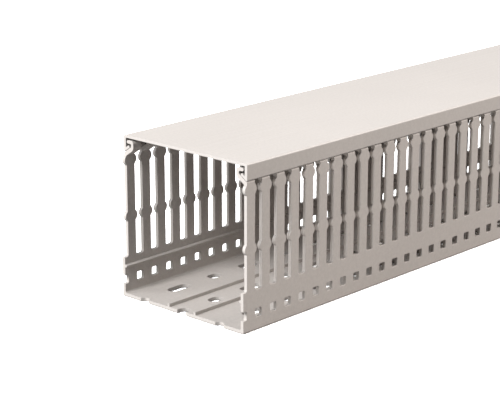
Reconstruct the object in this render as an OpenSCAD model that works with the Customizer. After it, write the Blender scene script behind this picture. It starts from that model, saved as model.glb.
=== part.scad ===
// Slotted wire duct with its cover, for the wiring of a switch cabinet.
// The base is one extruded channel: two walls punched into fingers, and a perforated floor.
// The cover is a second extrusion, whose lips hook under the heads of the fingers.
// X is across the duct, Y along it and Z up, in millimetres.

/* [Duct] */
// Width over the two outer walls
duct_w = 100; // [80:1:140]
// Height from the underside of the floor to the top of the fitted cover
duct_h = 100; // [90:1:140]
// Length of the base, and of its cover
duct_len = 1000; // [125:12.5:2000]
// Thickness of the two side walls and of the fingers
wall_t = 2.2; // [1.6:0.1:2.6]
// Thickness of the floor
floor_t = 2.2; // [1.6:0.1:3]

/* [Wall slots] */
// Distance from one wall slot to the next
slot_pitch = 12.5; // [11:0.1:16]
// Width of a wall slot, where its sides are straight
slot_w = 6; // [4.5:0.1:7]
// Height of the closed lower end of a slot above the underside
slot_z = 24.5; // [22:0.1:34]
// Corner radius at the lower end of a slot
slot_end_r = 1.6; // [0.5:0.1:2]
// Height of the lower pair of wire-retaining bulges above the underside
low_bulge_z = 49.7; // [44:0.1:58]
// Height of the upper pair of bulges above the underside
high_bulge_z = 84.5; // [76:0.1:86]
// Radius of a bulge
bulge_r = 3.8; // [2.6:0.1:4]
// How far a bulge stands into the slot
bulge_out = 1.5; // [1:0.1:2]

/* [Square holes] */
// Side of the square holes under the slots
hole_side = 5.5; // [4:0.1:7]
// Height of the middle of the square holes above the underside
hole_z = 10.6; // [9:0.1:13]
// Corner radius of the square holes
hole_r = 0.9; // [0.3:0.1:1.5]

/* [Floor perforations] */
// Distance between neighbouring perforations in a row
perf_pitch = 31.25; // [24:0.25:50]
// Width of every perforation
perf_w = 7; // [5:0.1:9]
// Length of the long perforations, end to end
perf_long = 16.8; // [12:0.1:22]
// Length of the short perforations, which take turns with the long ones
perf_short = 10; // [9.5:0.1:12]
// Distance of the two outer rows from the middle row
perf_row_x = 31; // [24:0.5:34]
// Distance of the first perforation's middle behind the front end
perf_first = -2.5; // [-6:0.1:15]

/* [Ribs] */
// Distance of the two floor ribs from the middle of the duct
floor_rib_x = 10.8; // [8:0.1:16]
// Thickness of the floor ribs
floor_rib_t = 1.6; // [1:0.1:2.5]
// Height of the floor ribs above the floor
floor_rib_h = 2; // [1:0.1:4]
// Height of the middle of the ribs inside the walls above the underside
wall_rib_z = 19.2; // [18:0.1:21]
// Thickness of the wall ribs at their root
wall_rib_t = 2.1; // [1.5:0.1:2.6]
// Thickness of the wall ribs at their tip
wall_rib_tip = 0.6; // [0.4:0.1:1.2]
// How far the wall ribs stand out
wall_rib_out = 1.5; // [0.8:0.1:2.5]

/* [Finger heads] */
// How far the neck of a head is set in from the outer face of its wall
neck_in = 6.2; // [5.4:0.1:8]
// Thickness of the neck, and radius of the round back of the head
neck_t = 1.9; // [1.4:0.1:2.2]
// How far the arm on the neck reaches back out
arm_out = 3.6; // [2.8:0.1:4.2]
// Thickness of the arm, which has a round tip
arm_t = 2.1; // [1.6:0.1:2.4]
// Radius of the fillet between the neck and the underside of the arm
arm_fillet = 0.8; // [0.3:0.1:1]

/* [Cover] */
// Thickness of the cover's top
cover_t = 1.6; // [1.2:0.1:2.4]
// Thickness of the cover's two skirts
skirt_t = 2; // [1.4:0.1:2.2]
// Height of the skirts, from the top of the cover to their lower edge
skirt_h = 10.2; // [9.6:0.1:11]
// How far the outer face of a skirt stands proud of the wall below it
skirt_proud = 0.2; // [0:0.1:1]
// Radius of the long edges on top of the cover
cover_edge_r = 1; // [0.3:0.1:1.5]
// Thickness of the lip that turns in from the lower edge of a skirt
lip_t = 1.6; // [0.8:0.1:1.8]
// How far the lip reaches in from the outer face of its skirt
lip_reach = 5.2; // [5:0.1:5.5]
// Rise of the lip for each millimetre it reaches in
lip_slope = 0.68; // [0.6:0.01:0.75]
// How far the cover is slid back from the front end of the base
cover_back = 3; // [0:0.5:50]

/* [Edges] */
// Size of the breaks on the long lower edges of the base and of the cover's skirts
edge_break = 0.7; // [0.3:0.1:0.9]
// Size of the bevels inside, where the walls stand on the floor
foot_bevel = 0.8; // [0.4:0.1:1.2]

/* [Fit] */
// Gap between a lip and the sloping shoulder of the finger under it
lip_gap = 0.25; // [0.15:0.05:0.5]
// Gap between the cover's top and the top of the finger heads
head_gap = 1.2; // [0.3:0.1:1.5]

/* [Hidden] */
$fn = 48;
stone_grey = [0.70, 0.67, 0.64];
cover_grey = [0.80, 0.79, 0.78];
past = 1;     // how far a cutter runs past the face it cuts
throat = 1.6; // how far below its shoulder a finger starts to lean in, on the inside
half_w = duct_w / 2;
inner_x = half_w - wall_t;
skirt_x = half_w + skirt_proud;
skirt_z = duct_h - skirt_h;
slope_len = sqrt(1 + lip_slope * lip_slope); // slope length for each millimetre across
head_top = duct_h - cover_t - head_gap;
arm_under = head_top - arm_t;
neck_x = half_w - neck_in;   // outer face of the neck
back_x = neck_x - neck_t;    // inner face of the neck, the back of the head
// Both extrusions are centred on Y = 0 together, so the base starts half the set-back early.
base_y = -(duct_len + cover_back) / 2;
cover_y = base_y + cover_back;

// Height of the underside of a lip at the distance x from the middle.
function lip_z(x) = skirt_z + (skirt_x - edge_break - x) * lip_slope;

// Height of the sloping shoulder of a finger, a gap below the lip that lies on it.
function shoulder_z(x) = lip_z(x) - lip_gap * slope_len;

// A closed outline from the points of its right half, read from the middle round to the middle.
function both_halves(p) = concat(p, [for (i = [len(p) - 1 : -1 : 0]) [-p[i][0], p[i][1]]]);

// Stands a cross-section drawn in X and Z along the length, from y0 on.
module along(y0, length)
    translate([0, y0 + length, 0]) rotate([90, 0, 0]) linear_extrude(length) children();

// The same shape on the right and on the left of the middle.
module both_sides() for (side = [0, 1]) mirror([side, 0]) children();

// A rectangle with round corners, centred.
module round_rect(w, h, r) {
    square([w, h - 2 * r], center = true);
    square([w - 2 * r, h], center = true);
    for (sx = [-1, 1], sy = [-1, 1])
        translate([sx * (w / 2 - r), sy * (h / 2 - r)]) circle(r);
}

// A slot of width w with round ends, l long from end to end.
module round_slot(w, l) {
    square([w, l - w], center = true);
    for (end = [-1, 1]) translate([0, end * (l - w) / 2]) circle(w / 2);
}

// The arm on top of a neck: a round back, a round tip and a fillet in the hollow of the hook.
module arm_section() {
    tip_r = arm_t / 2;
    tip_x = neck_x + arm_out;
    intersection() {
        translate([neck_x, head_top - neck_t]) circle(neck_t);
        translate([back_x, head_top - neck_t]) square(neck_t);
    }
    translate([neck_x, arm_under]) square([arm_out - tip_r, arm_t]);
    translate([tip_x - tip_r, arm_under + tip_r]) circle(tip_r);
    difference() {
        translate([neck_x, arm_under - arm_fillet]) square(arm_fillet);
        translate([neck_x + arm_fillet, arm_under - arm_fillet]) circle(arm_fillet);
    }
}

// Cross-section of the base: floor, walls, shoulders and necks in one outline, then the arms.
module base_section() {
    throat_z = shoulder_z(half_w) - throat;
    bend = neck_t / 2;  // break on the bend from the leaning part into the neck
    bend_z = throat_z + (inner_x - back_x) * lip_slope;
    polygon(both_halves([
        [0, 0], [half_w - edge_break, 0], [half_w, edge_break],
        [half_w, shoulder_z(half_w)], [neck_x, shoulder_z(neck_x)],
        [neck_x, head_top - neck_t], [back_x, head_top - neck_t],
        [back_x, bend_z + bend], [back_x + bend, bend_z - bend * lip_slope],
        [inner_x, throat_z],
        [inner_x, wall_rib_z + wall_rib_t / 2],
        [inner_x - wall_rib_out, wall_rib_z + wall_rib_tip / 2],
        [inner_x - wall_rib_out, wall_rib_z - wall_rib_tip / 2],
        [inner_x, wall_rib_z - wall_rib_t / 2],
        [inner_x, floor_t + foot_bevel], [inner_x - foot_bevel, floor_t],
        [floor_rib_x + floor_rib_t / 2, floor_t],
        [floor_rib_x + floor_rib_t / 2, floor_t + floor_rib_h],
        [floor_rib_x - floor_rib_t / 2, floor_t + floor_rib_h],
        [floor_rib_x - floor_rib_t / 2, floor_t], [0, floor_t]
    ]));
    both_sides() arm_section();
}

// Outline of one wall slot: open at the top, narrowed by two pairs of bulges.
module slot_outline() {
    high = duct_h + past - slot_z;
    difference() {
        union() {
            translate([-slot_w / 2, slot_end_r]) square([slot_w, high - slot_end_r]);
            translate([0, slot_w / 2]) round_rect(slot_w, slot_w, slot_end_r);
        }
        for (z = [low_bulge_z, high_bulge_z], side = [-1, 1])
            translate([side * (slot_w / 2 + bulge_r - bulge_out), z - slot_z]) circle(bulge_r);
    }
}

// Sends an outline drawn in Y and Z straight through both side walls at y, from height z up.
module through_walls(y, z)
    translate([-half_w - past, y, z]) rotate([90, 0, 90])
        linear_extrude(duct_w + 2 * past) children();

// One row of floor perforations, long and short by turns.
module perforation_row(x, long_first) {
    for (k = [0 : floor((duct_len + perf_long) / perf_pitch)]) {
        is_long = (k % 2 == 0) == long_first;
        translate([x, base_y + perf_first + k * perf_pitch, -past])
            linear_extrude(floor_t + 2 * past) round_slot(perf_w, is_long ? perf_long : perf_short);
    }
}

// The base: one extrusion with punched walls and floor, its ends cut through a slot.
module duct_base() color(stone_grey) difference() {
    along(base_y, duct_len) base_section();
    for (k = [0 : floor(duct_len / slot_pitch)]) {
        y = base_y + k * slot_pitch;
        through_walls(y, slot_z) slot_outline();
        through_walls(y, hole_z) round_rect(hole_side, hole_side, hole_r);
    }
    perforation_row(-perf_row_x, false);
    perforation_row(0, true);
    perforation_row(perf_row_x, false);
}

// Cross-section of the cover: a flat top, two skirts and the lips that turn in and up.
module cover_section() {
    tip_x = skirt_x - lip_reach;
    skirt_in = skirt_x - skirt_t;
    difference() {
        polygon(both_halves([
            [0, duct_h - cover_t], [skirt_in, duct_h - cover_t],
            [skirt_in, lip_z(skirt_in) + lip_t * slope_len],
            [tip_x + lip_t * lip_slope / slope_len, lip_z(tip_x) + lip_t / slope_len],
            [tip_x, lip_z(tip_x)],
            [skirt_x - edge_break, skirt_z], [skirt_x, skirt_z + edge_break],
            [skirt_x, duct_h], [0, duct_h]
        ]));
        both_sides() translate([skirt_x - cover_edge_r, duct_h - cover_edge_r]) difference() {
            square(cover_edge_r + past);
            circle(cover_edge_r);
        }
    }
}

// The cover: one extrusion as long as the base.
module duct_cover() color(cover_grey) along(cover_y, duct_len) cover_section();

duct_base();
duct_cover();
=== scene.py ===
# %% [markdown]
# # A slotted wire duct with its cover
# This lesson dresses the two pieces of a slotted wire duct: the channel, whose walls are combs of
# fingers, and the cover that hooks over the heads of the fingers. Both are extruded from rigid
# grey plastic, and then the channel is punched and both are sawn to length.
#
# The solids come from the CAD model at their true size, with every slot, hole, bulge and rib in
# them, so no shape is modelled again here. The work is the camera, a plastic that shows how it
# was extruded, with painted light on its cuts and edges and painted shade in its nooks, and a
# plain studio.

# %% Load the CAD model as the frame
import math
import bpy
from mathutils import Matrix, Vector


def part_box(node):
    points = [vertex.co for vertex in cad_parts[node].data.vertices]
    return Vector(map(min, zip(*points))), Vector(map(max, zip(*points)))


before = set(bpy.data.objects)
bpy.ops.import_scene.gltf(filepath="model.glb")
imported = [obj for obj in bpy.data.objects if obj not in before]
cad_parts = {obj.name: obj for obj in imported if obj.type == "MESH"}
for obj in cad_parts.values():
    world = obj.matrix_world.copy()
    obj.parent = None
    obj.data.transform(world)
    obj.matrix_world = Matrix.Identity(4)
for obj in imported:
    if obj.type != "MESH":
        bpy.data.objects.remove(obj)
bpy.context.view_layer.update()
duct_low, duct_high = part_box("duct_base")
front_end, back_end = duct_low[1], duct_high[1]
print("the channel runs from Y", round(front_end, 4), "to", round(back_end, 4))

# %% [markdown]
# ## The camera
# Stock like this is best shown from the corner of its open end: one wall is seen flat enough to
# read its slots, the section shows in the cut end, and the cover closes the top. A camera could
# stand close with a short lens, but then the metre of duct would shrink into a wedge. A long
# lens about a metre away keeps the long edges calm, so that is what stands here, a little above
# the cover and looking slightly down.

# %% Place the camera
lens_mm, sensor_mm = 125.785, 36.0
camera_right, camera_in_front, camera_up = 0.68993, 0.68109, 0.34897  # metres
camera_turns = (73.6115, -0.0018, 42.9884)                            # degrees

camera = bpy.data.objects.new("camera", bpy.data.cameras.new("camera"))
bpy.context.collection.objects.link(camera)
camera.data.sensor_width = sensor_mm
camera.data.lens = lens_mm
camera.location = (camera_right, front_end - camera_in_front, camera_up)
camera.rotation_euler = [math.radians(turn) for turn in camera_turns]
camera.data.clip_start, camera.data.clip_end = 0.05, 20.0
bpy.context.scene.camera = camera
print("camera at", [round(v, 3) for v in camera.location], "with a", lens_mm, "mm lens")

# %% [markdown]
# ## Helpers for node materials
# A material is a small network of nodes. It could be wired by hand in the shader editor, but a
# network written down can be read, repeated and changed. The first helper makes one node, sets
# its plain values and joins its inputs. The others make what this lesson needs again and again:
# a step of arithmetic, a ramp from one range of values to another, one colour laid over
# another, a colour made darker or paler by a factor, and an empty material.

# %% Make nodes, and lay one colour over another
def node(tree, kind, links=None, **values):
    made = tree.nodes.new(kind)
    for name, value in values.items():
        setattr(made, name, value)
    for socket, source in (links or {}).items():
        if isinstance(source, bpy.types.NodeSocket):
            tree.links.new(source, made.inputs[socket])
        else:
            made.inputs[socket].default_value = source
    return made


def calculate(tree, operation, *operands):
    return node(tree, "ShaderNodeMath", dict(enumerate(operands)), operation=operation).outputs[0]


def ramp(tree, value, start, end, low, high):
    return node(tree, "ShaderNodeMapRange", {"Value": value, "From Min": start, "From Max": end,
                "To Min": low, "To Max": high}).outputs[0]


def lay_over(tree, amount, under, over, blend="MIX"):
    amount_socket, under_socket, over_socket, colour_out = 0, 6, 7, 2
    mixed = node(tree, "ShaderNodeMix", {amount_socket: amount, under_socket: under,
                 over_socket: over}, data_type="RGBA", blend_type=blend)
    return mixed.outputs[colour_out]


def scale_colour(tree, colour, factor):
    grey = node(tree, "ShaderNodeCombineColor", {"Red": factor, "Green": factor, "Blue": factor})
    return lay_over(tree, 1.0, colour, grey.outputs[0], "MULTIPLY")


def new_material(name):
    material = bpy.data.materials.new(name)
    material.use_nodes = True
    material.node_tree.nodes.clear()
    return material, material.node_tree

# %% [markdown]
# ## Lines from the die
# Plastic that is pushed through a die keeps very fine lines along its length. They could be cut
# into the mesh, but they are far finer than any face. A noise that is stretched along Y gives
# them: it changes quickly across the section and hardly at all along the duct.

# %% Draw the die lines
lines_across, lines_along = 900.0, 3.0  # changes in each metre
noise_low, noise_high = 0.3, 0.7        # nearly all of a noise lies between these


def die_lines(tree, place):
    stretch = (lines_across, lines_along, lines_across)
    stretched = node(tree, "ShaderNodeMapping", {"Vector": place, "Scale": stretch})
    return node(tree, "ShaderNodeTexNoise", {"Vector": stretched.outputs[0], "Scale": 1.0,
                "Detail": 3.0}).outputs["Fac"]

# %% [markdown]
# ## A colour that is never quite even
# The grey is mixed into the melt, so it drifts by a few percent over a hand's width, and the
# matt skin breaks it up again in spots of a millimetre or two. One soft noise and one fine one,
# both multiplied into the colour, do that. A flat colour would look like paint on a screen.

# %% Mottle a colour
drift_scale, drift_range = 9.0, (0.965, 1.02)    # changes in each metre, and the factors
spots_scale, spots_range = 650.0, (0.955, 1.045)


def soft_noise(tree, place, scale):
    return node(tree, "ShaderNodeTexNoise", {"Vector": place, "Scale": scale,
                "Detail": 2.0}).outputs["Fac"]


def mottle(tree, place, colour):
    drift = ramp(tree, soft_noise(tree, place, drift_scale), noise_low, noise_high, *drift_range)
    spots = ramp(tree, soft_noise(tree, place, spots_scale), noise_low, noise_high, *spots_range)
    return scale_colour(tree, (*colour, 1.0), calculate(tree, "MULTIPLY", drift, spots))

# %% [markdown]
# ## Painted edge highlights
# Every edge of the real duct is a little round. The Bevel node bends the normals within a few
# tenths of a millimetre of an edge. Where the bent normal and the true one part, there is an
# edge, so their dot product also says where to lay a paler colour: a painted highlight along
# the edges.

# %% Find the edges and paint highlights on them
edge_round = 0.0004                        # metres
still_flat, well_bent = 0.98, 0.75         # dot products where the wear starts and is full
edge_highlight_share, edge_highlight_factor = 0.35, 1.25        # share of the paler colour, and how much paler it is


def paler(colour, factor):
    return (*(min(1.0, channel * factor) for channel in colour), 1.0)


# Painted highlight: a paler colour is laid along the edges.
def painted_edge_highlights(tree, colour_so_far, highlight_colour, bent):
    flat = node(tree, "ShaderNodeNewGeometry").outputs["Normal"]
    agree = node(tree, "ShaderNodeVectorMath", {0: bent, 1: flat}, operation="DOT_PRODUCT")
    edge = ramp(tree, agree.outputs["Value"], still_flat, well_bent, 0.0, edge_highlight_share)
    return lay_over(tree, edge, colour_so_far, highlight_colour)

# %% [markdown]
# ## Painted light on the cuts
# The sawn ends and the sides of the long slots all face along Y, and they are painted paler
# than the skin: painted light that stands in for the light they catch. So a face gets the paler
# colour when its normal lies along Y, and when it is at an end or above the square holes, whose
# sides lie in shade and stay as dark as the wall.

# %% Paint light on the cuts
slots_from_z = 0.020                                 # metres; the slots start above this height
end_depth = 0.0005                                   # metres; what lies this near to an end is cut
ends_from_y = min(-front_end, back_end) - end_depth
turned_in, square_on = 0.80, 0.97                    # how far a normal lies along Y
cut_light_factor = 1.4                                     # how much paler a cut is


# Painted light: faces along Y get a paler colour, as if lit.
def cut_faces_painted_lit(tree, place, colour_so_far, lit_cut_colour, bent):
    facing = node(tree, "ShaderNodeSeparateXYZ", {0: bent}).outputs["Y"]
    lit_share = ramp(tree, calculate(tree, "ABSOLUTE", facing), turned_in, square_on, 0.0, 1.0)
    spot = node(tree, "ShaderNodeSeparateXYZ", {0: place})
    in_slot = calculate(tree, "GREATER_THAN", spot.outputs["Z"], slots_from_z)
    away = calculate(tree, "ABSOLUTE", spot.outputs["Y"])
    at_end = calculate(tree, "GREATER_THAN", away, ends_from_y)
    either = calculate(tree, "MAXIMUM", in_slot, at_end)
    amount = calculate(tree, "MULTIPLY", lit_share, either)
    return lay_over(tree, amount, colour_so_far, lit_cut_colour)

# %% [markdown]
# ## Painted shade in the nooks
# Hollows, and the slit under the cover's skirt, are painted darker than the grey: painted shade.
# The Ambient Occlusion node looks a few millimetres round each point, and where it meets plastic
# the colour is taken down. The short distance keeps open faces free of it.

# %% Paint shade into the nooks
nook_reach = 0.003                  # metres
nook_closed, nook_open = 0.1, 0.6   # shares of open sky
nook_shade = 0.35                   # what is left of the colour in a closed nook


# Painted shade: the colour is taken down in closed nooks.
def painted_nook_shade(tree, colour_so_far):
    open_sky = node(tree, "ShaderNodeAmbientOcclusion", {"Distance": nook_reach}, samples=8)
    kept = ramp(tree, open_sky.outputs["AO"], nook_closed, nook_open, nook_shade, 1.0)
    return scale_colour(tree, colour_so_far, kept)

# %% [markdown]
# ## The plastic
# Now the parts come together in one Principled shader. Rigid duct plastic is satin: rough
# enough to blur what it mirrors, smooth enough for a pale sheen at a low angle, which is why
# the cover looks almost white along its length. The die lines stir the roughness and, with a
# fine grain, the bump, on top of the rounded normals.

# %% Mix the plastic
smoother, rougher = 0.04, 0.05                   # how far the die lines stir the roughness
grain_scale = 1800.0                             # grains in each metre
grain_strength, grain_height = 0.12, 0.00004     # height in metres
line_strength, line_height = 0.18, 0.00006
plastic_ior = 1.5


def extruded_plastic(name, colour, roughness):
    material, tree = new_material(name)
    place = node(tree, "ShaderNodeTexCoord").outputs["Object"]
    bent = node(tree, "ShaderNodeBevel", {"Radius": edge_round}, samples=4).outputs[0]
    lines = die_lines(tree, place)
    skin = mottle(tree, place, colour)
    # Painted highlight along the edges
    skin = painted_edge_highlights(tree, skin, paler(colour, edge_highlight_factor), bent)
    # Painted light on the faces along Y
    skin = cut_faces_painted_lit(tree, place, skin, paler(colour, cut_light_factor), bent)
    # Painted shade in the nooks
    skin = painted_nook_shade(tree, skin)
    rough = ramp(tree, lines, noise_low, noise_high, roughness - smoother, roughness + rougher)
    grain = soft_noise(tree, place, grain_scale)
    fine = node(tree, "ShaderNodeBump", {"Height": grain, "Normal": bent,
                "Strength": grain_strength, "Distance": grain_height})
    ridges = node(tree, "ShaderNodeBump", {"Height": lines, "Normal": fine.outputs[0],
                  "Strength": line_strength, "Distance": line_height})
    plastic = node(tree, "ShaderNodeBsdfPrincipled", {"Base Color": skin, "Roughness": rough,
                   "Normal": ridges.outputs[0], "IOR": plastic_ior})
    node(tree, "ShaderNodeOutputMaterial", {"Surface": plastic.outputs[0]})
    print(name, "has", len(tree.nodes), "nodes")
    return material


channel_grey, channel_roughness = (0.455, 0.421, 0.394), 0.42
cover_grey, cover_roughness = (0.455, 0.424, 0.399), 0.40
channel_plastic = extruded_plastic("channel_plastic", channel_grey, channel_roughness)
cover_plastic = extruded_plastic("cover_plastic", cover_grey, cover_roughness)

# %% [markdown]
# ## Dress the two pieces
# The CAD pieces stay as they are and only get a better finish. The material goes into the slots
# of the objects and not of their meshes, so the meshes of the frame are left untouched.

# %% Put the plastic on the CAD pieces
for name, material in (("duct_base", channel_plastic), ("duct_cover", cover_plastic)):
    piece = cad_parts[name]
    if not piece.material_slots:
        piece.data.materials.append(material)
    for slot in piece.material_slots:
        slot.link = "OBJECT"
        slot.material = material
    print(name, "wears", material.name, "on", len(piece.data.polygons), "faces")

# %% [markdown]
# ## The floor
# The duct lies on a plain pale studio floor. To show paper white round the object, the lamps
# could be turned up, but that would burn the plastic out. So only rays from the camera see a
# lifted white, and the light that the floor throws back on the duct comes from a calmer grey.

# %% Lay the floor
floor_reach, floor_z = 12.0, -0.0003         # metres
floor_seen_tone, floor_light_tone = 2.2, 0.25


def grey(tone):
    return (tone, tone, tone, 1.0)


corners = [(x * floor_reach, y * floor_reach, 0) for x, y in ((-1, -1), (1, -1), (1, 1), (-1, 1))]
floor_mesh = bpy.data.meshes.new("floor")
floor_mesh.from_pydata(corners, [], [(0, 1, 2, 3)])
floor = bpy.data.objects.new("floor", floor_mesh)
floor.location.z = floor_z
bpy.context.collection.objects.link(floor)

paper, tree = new_material("paper_floor")
seen = node(tree, "ShaderNodeLightPath").outputs["Is Camera Ray"]
tone = lay_over(tree, seen, grey(floor_light_tone), grey(floor_seen_tone))
matt = node(tree, "ShaderNodeBsdfDiffuse", {"Color": tone})
node(tree, "ShaderNodeOutputMaterial", {"Surface": matt.outputs[0]})
floor_mesh.materials.append(paper)
print("floor", 2 * floor_reach, "m wide, its top", -floor_z * 1000, "mm under the duct")

# %% [markdown]
# ## The lamps
# The main lamp stands straight in front of the open end, so its light runs along the duct: the
# floor inside and the cut ends shine, and the inner walls, which lie along the light, stay
# dark. A weaker lamp from the front left catches the cut sides of the slots, and one from behind
# on the right lights the outer wall without reaching far through its slots.

# %% Set the lamps
aim = Vector((0.0, front_end + 0.12, 0.05))  # metres; a little inside the open end
lamp_distance = 2.6                          # metres from there


def soft_lamp(name, turn, rise, size, power, tint):
    turn, rise = math.radians(turn), math.radians(rise)
    outward = Vector((math.sin(turn) * math.cos(rise), -math.cos(turn) * math.cos(rise),
                      math.sin(rise)))
    lamp = bpy.data.objects.new(name, bpy.data.lights.new(name, "AREA"))
    lamp.data.shape, lamp.data.size = "SQUARE", size
    lamp.data.energy, lamp.data.color = power, tint
    bpy.context.collection.objects.link(lamp)
    lamp.location = aim + lamp_distance * outward
    lamp.rotation_euler = (-outward).to_track_quat("-Z", "Y").to_euler()
    print(name, "at", [round(v, 2) for v in lamp.location], power, "W")


# Turn from the front and rise in degrees, size in metres, power in watts, and tint
soft_lamp("front_lamp", 0.0, 42.0, 0.9, 92.0, (0.99, 1.0, 1.01))
soft_lamp("front_left_lamp", -42.0, 35.0, 0.8, 26.0, (0.98, 1.0, 1.02))
soft_lamp("back_right_lamp", 135.0, 34.0, 1.4, 78.0, (1.05, 0.99, 0.945))

# %% [markdown]
# ## The room
# The room round the duct is white where it is seen and where the satin plastic mirrors it. It
# throws no soft light of its own on the duct, so that the lamps shape the walls and the inside.

# %% Paint the room
world = bpy.data.worlds.new("room")
bpy.context.scene.world = world
world.use_nodes = True
sky = world.node_tree
sky.nodes.clear()
path = node(sky, "ShaderNodeLightPath").outputs
shown = calculate(sky, "MAXIMUM", path["Is Camera Ray"], path["Is Glossy Ray"])
shown = calculate(sky, "MAXIMUM", shown, path["Is Transmission Ray"])
white = node(sky, "ShaderNodeBackground", {"Color": (1.0, 1.0, 1.0, 1.0), "Strength": shown})
node(sky, "ShaderNodeOutputWorld", {"Surface": white.outputs[0]})
bpy.context.scene.view_settings.view_transform = "Standard"
print("the room shows white")
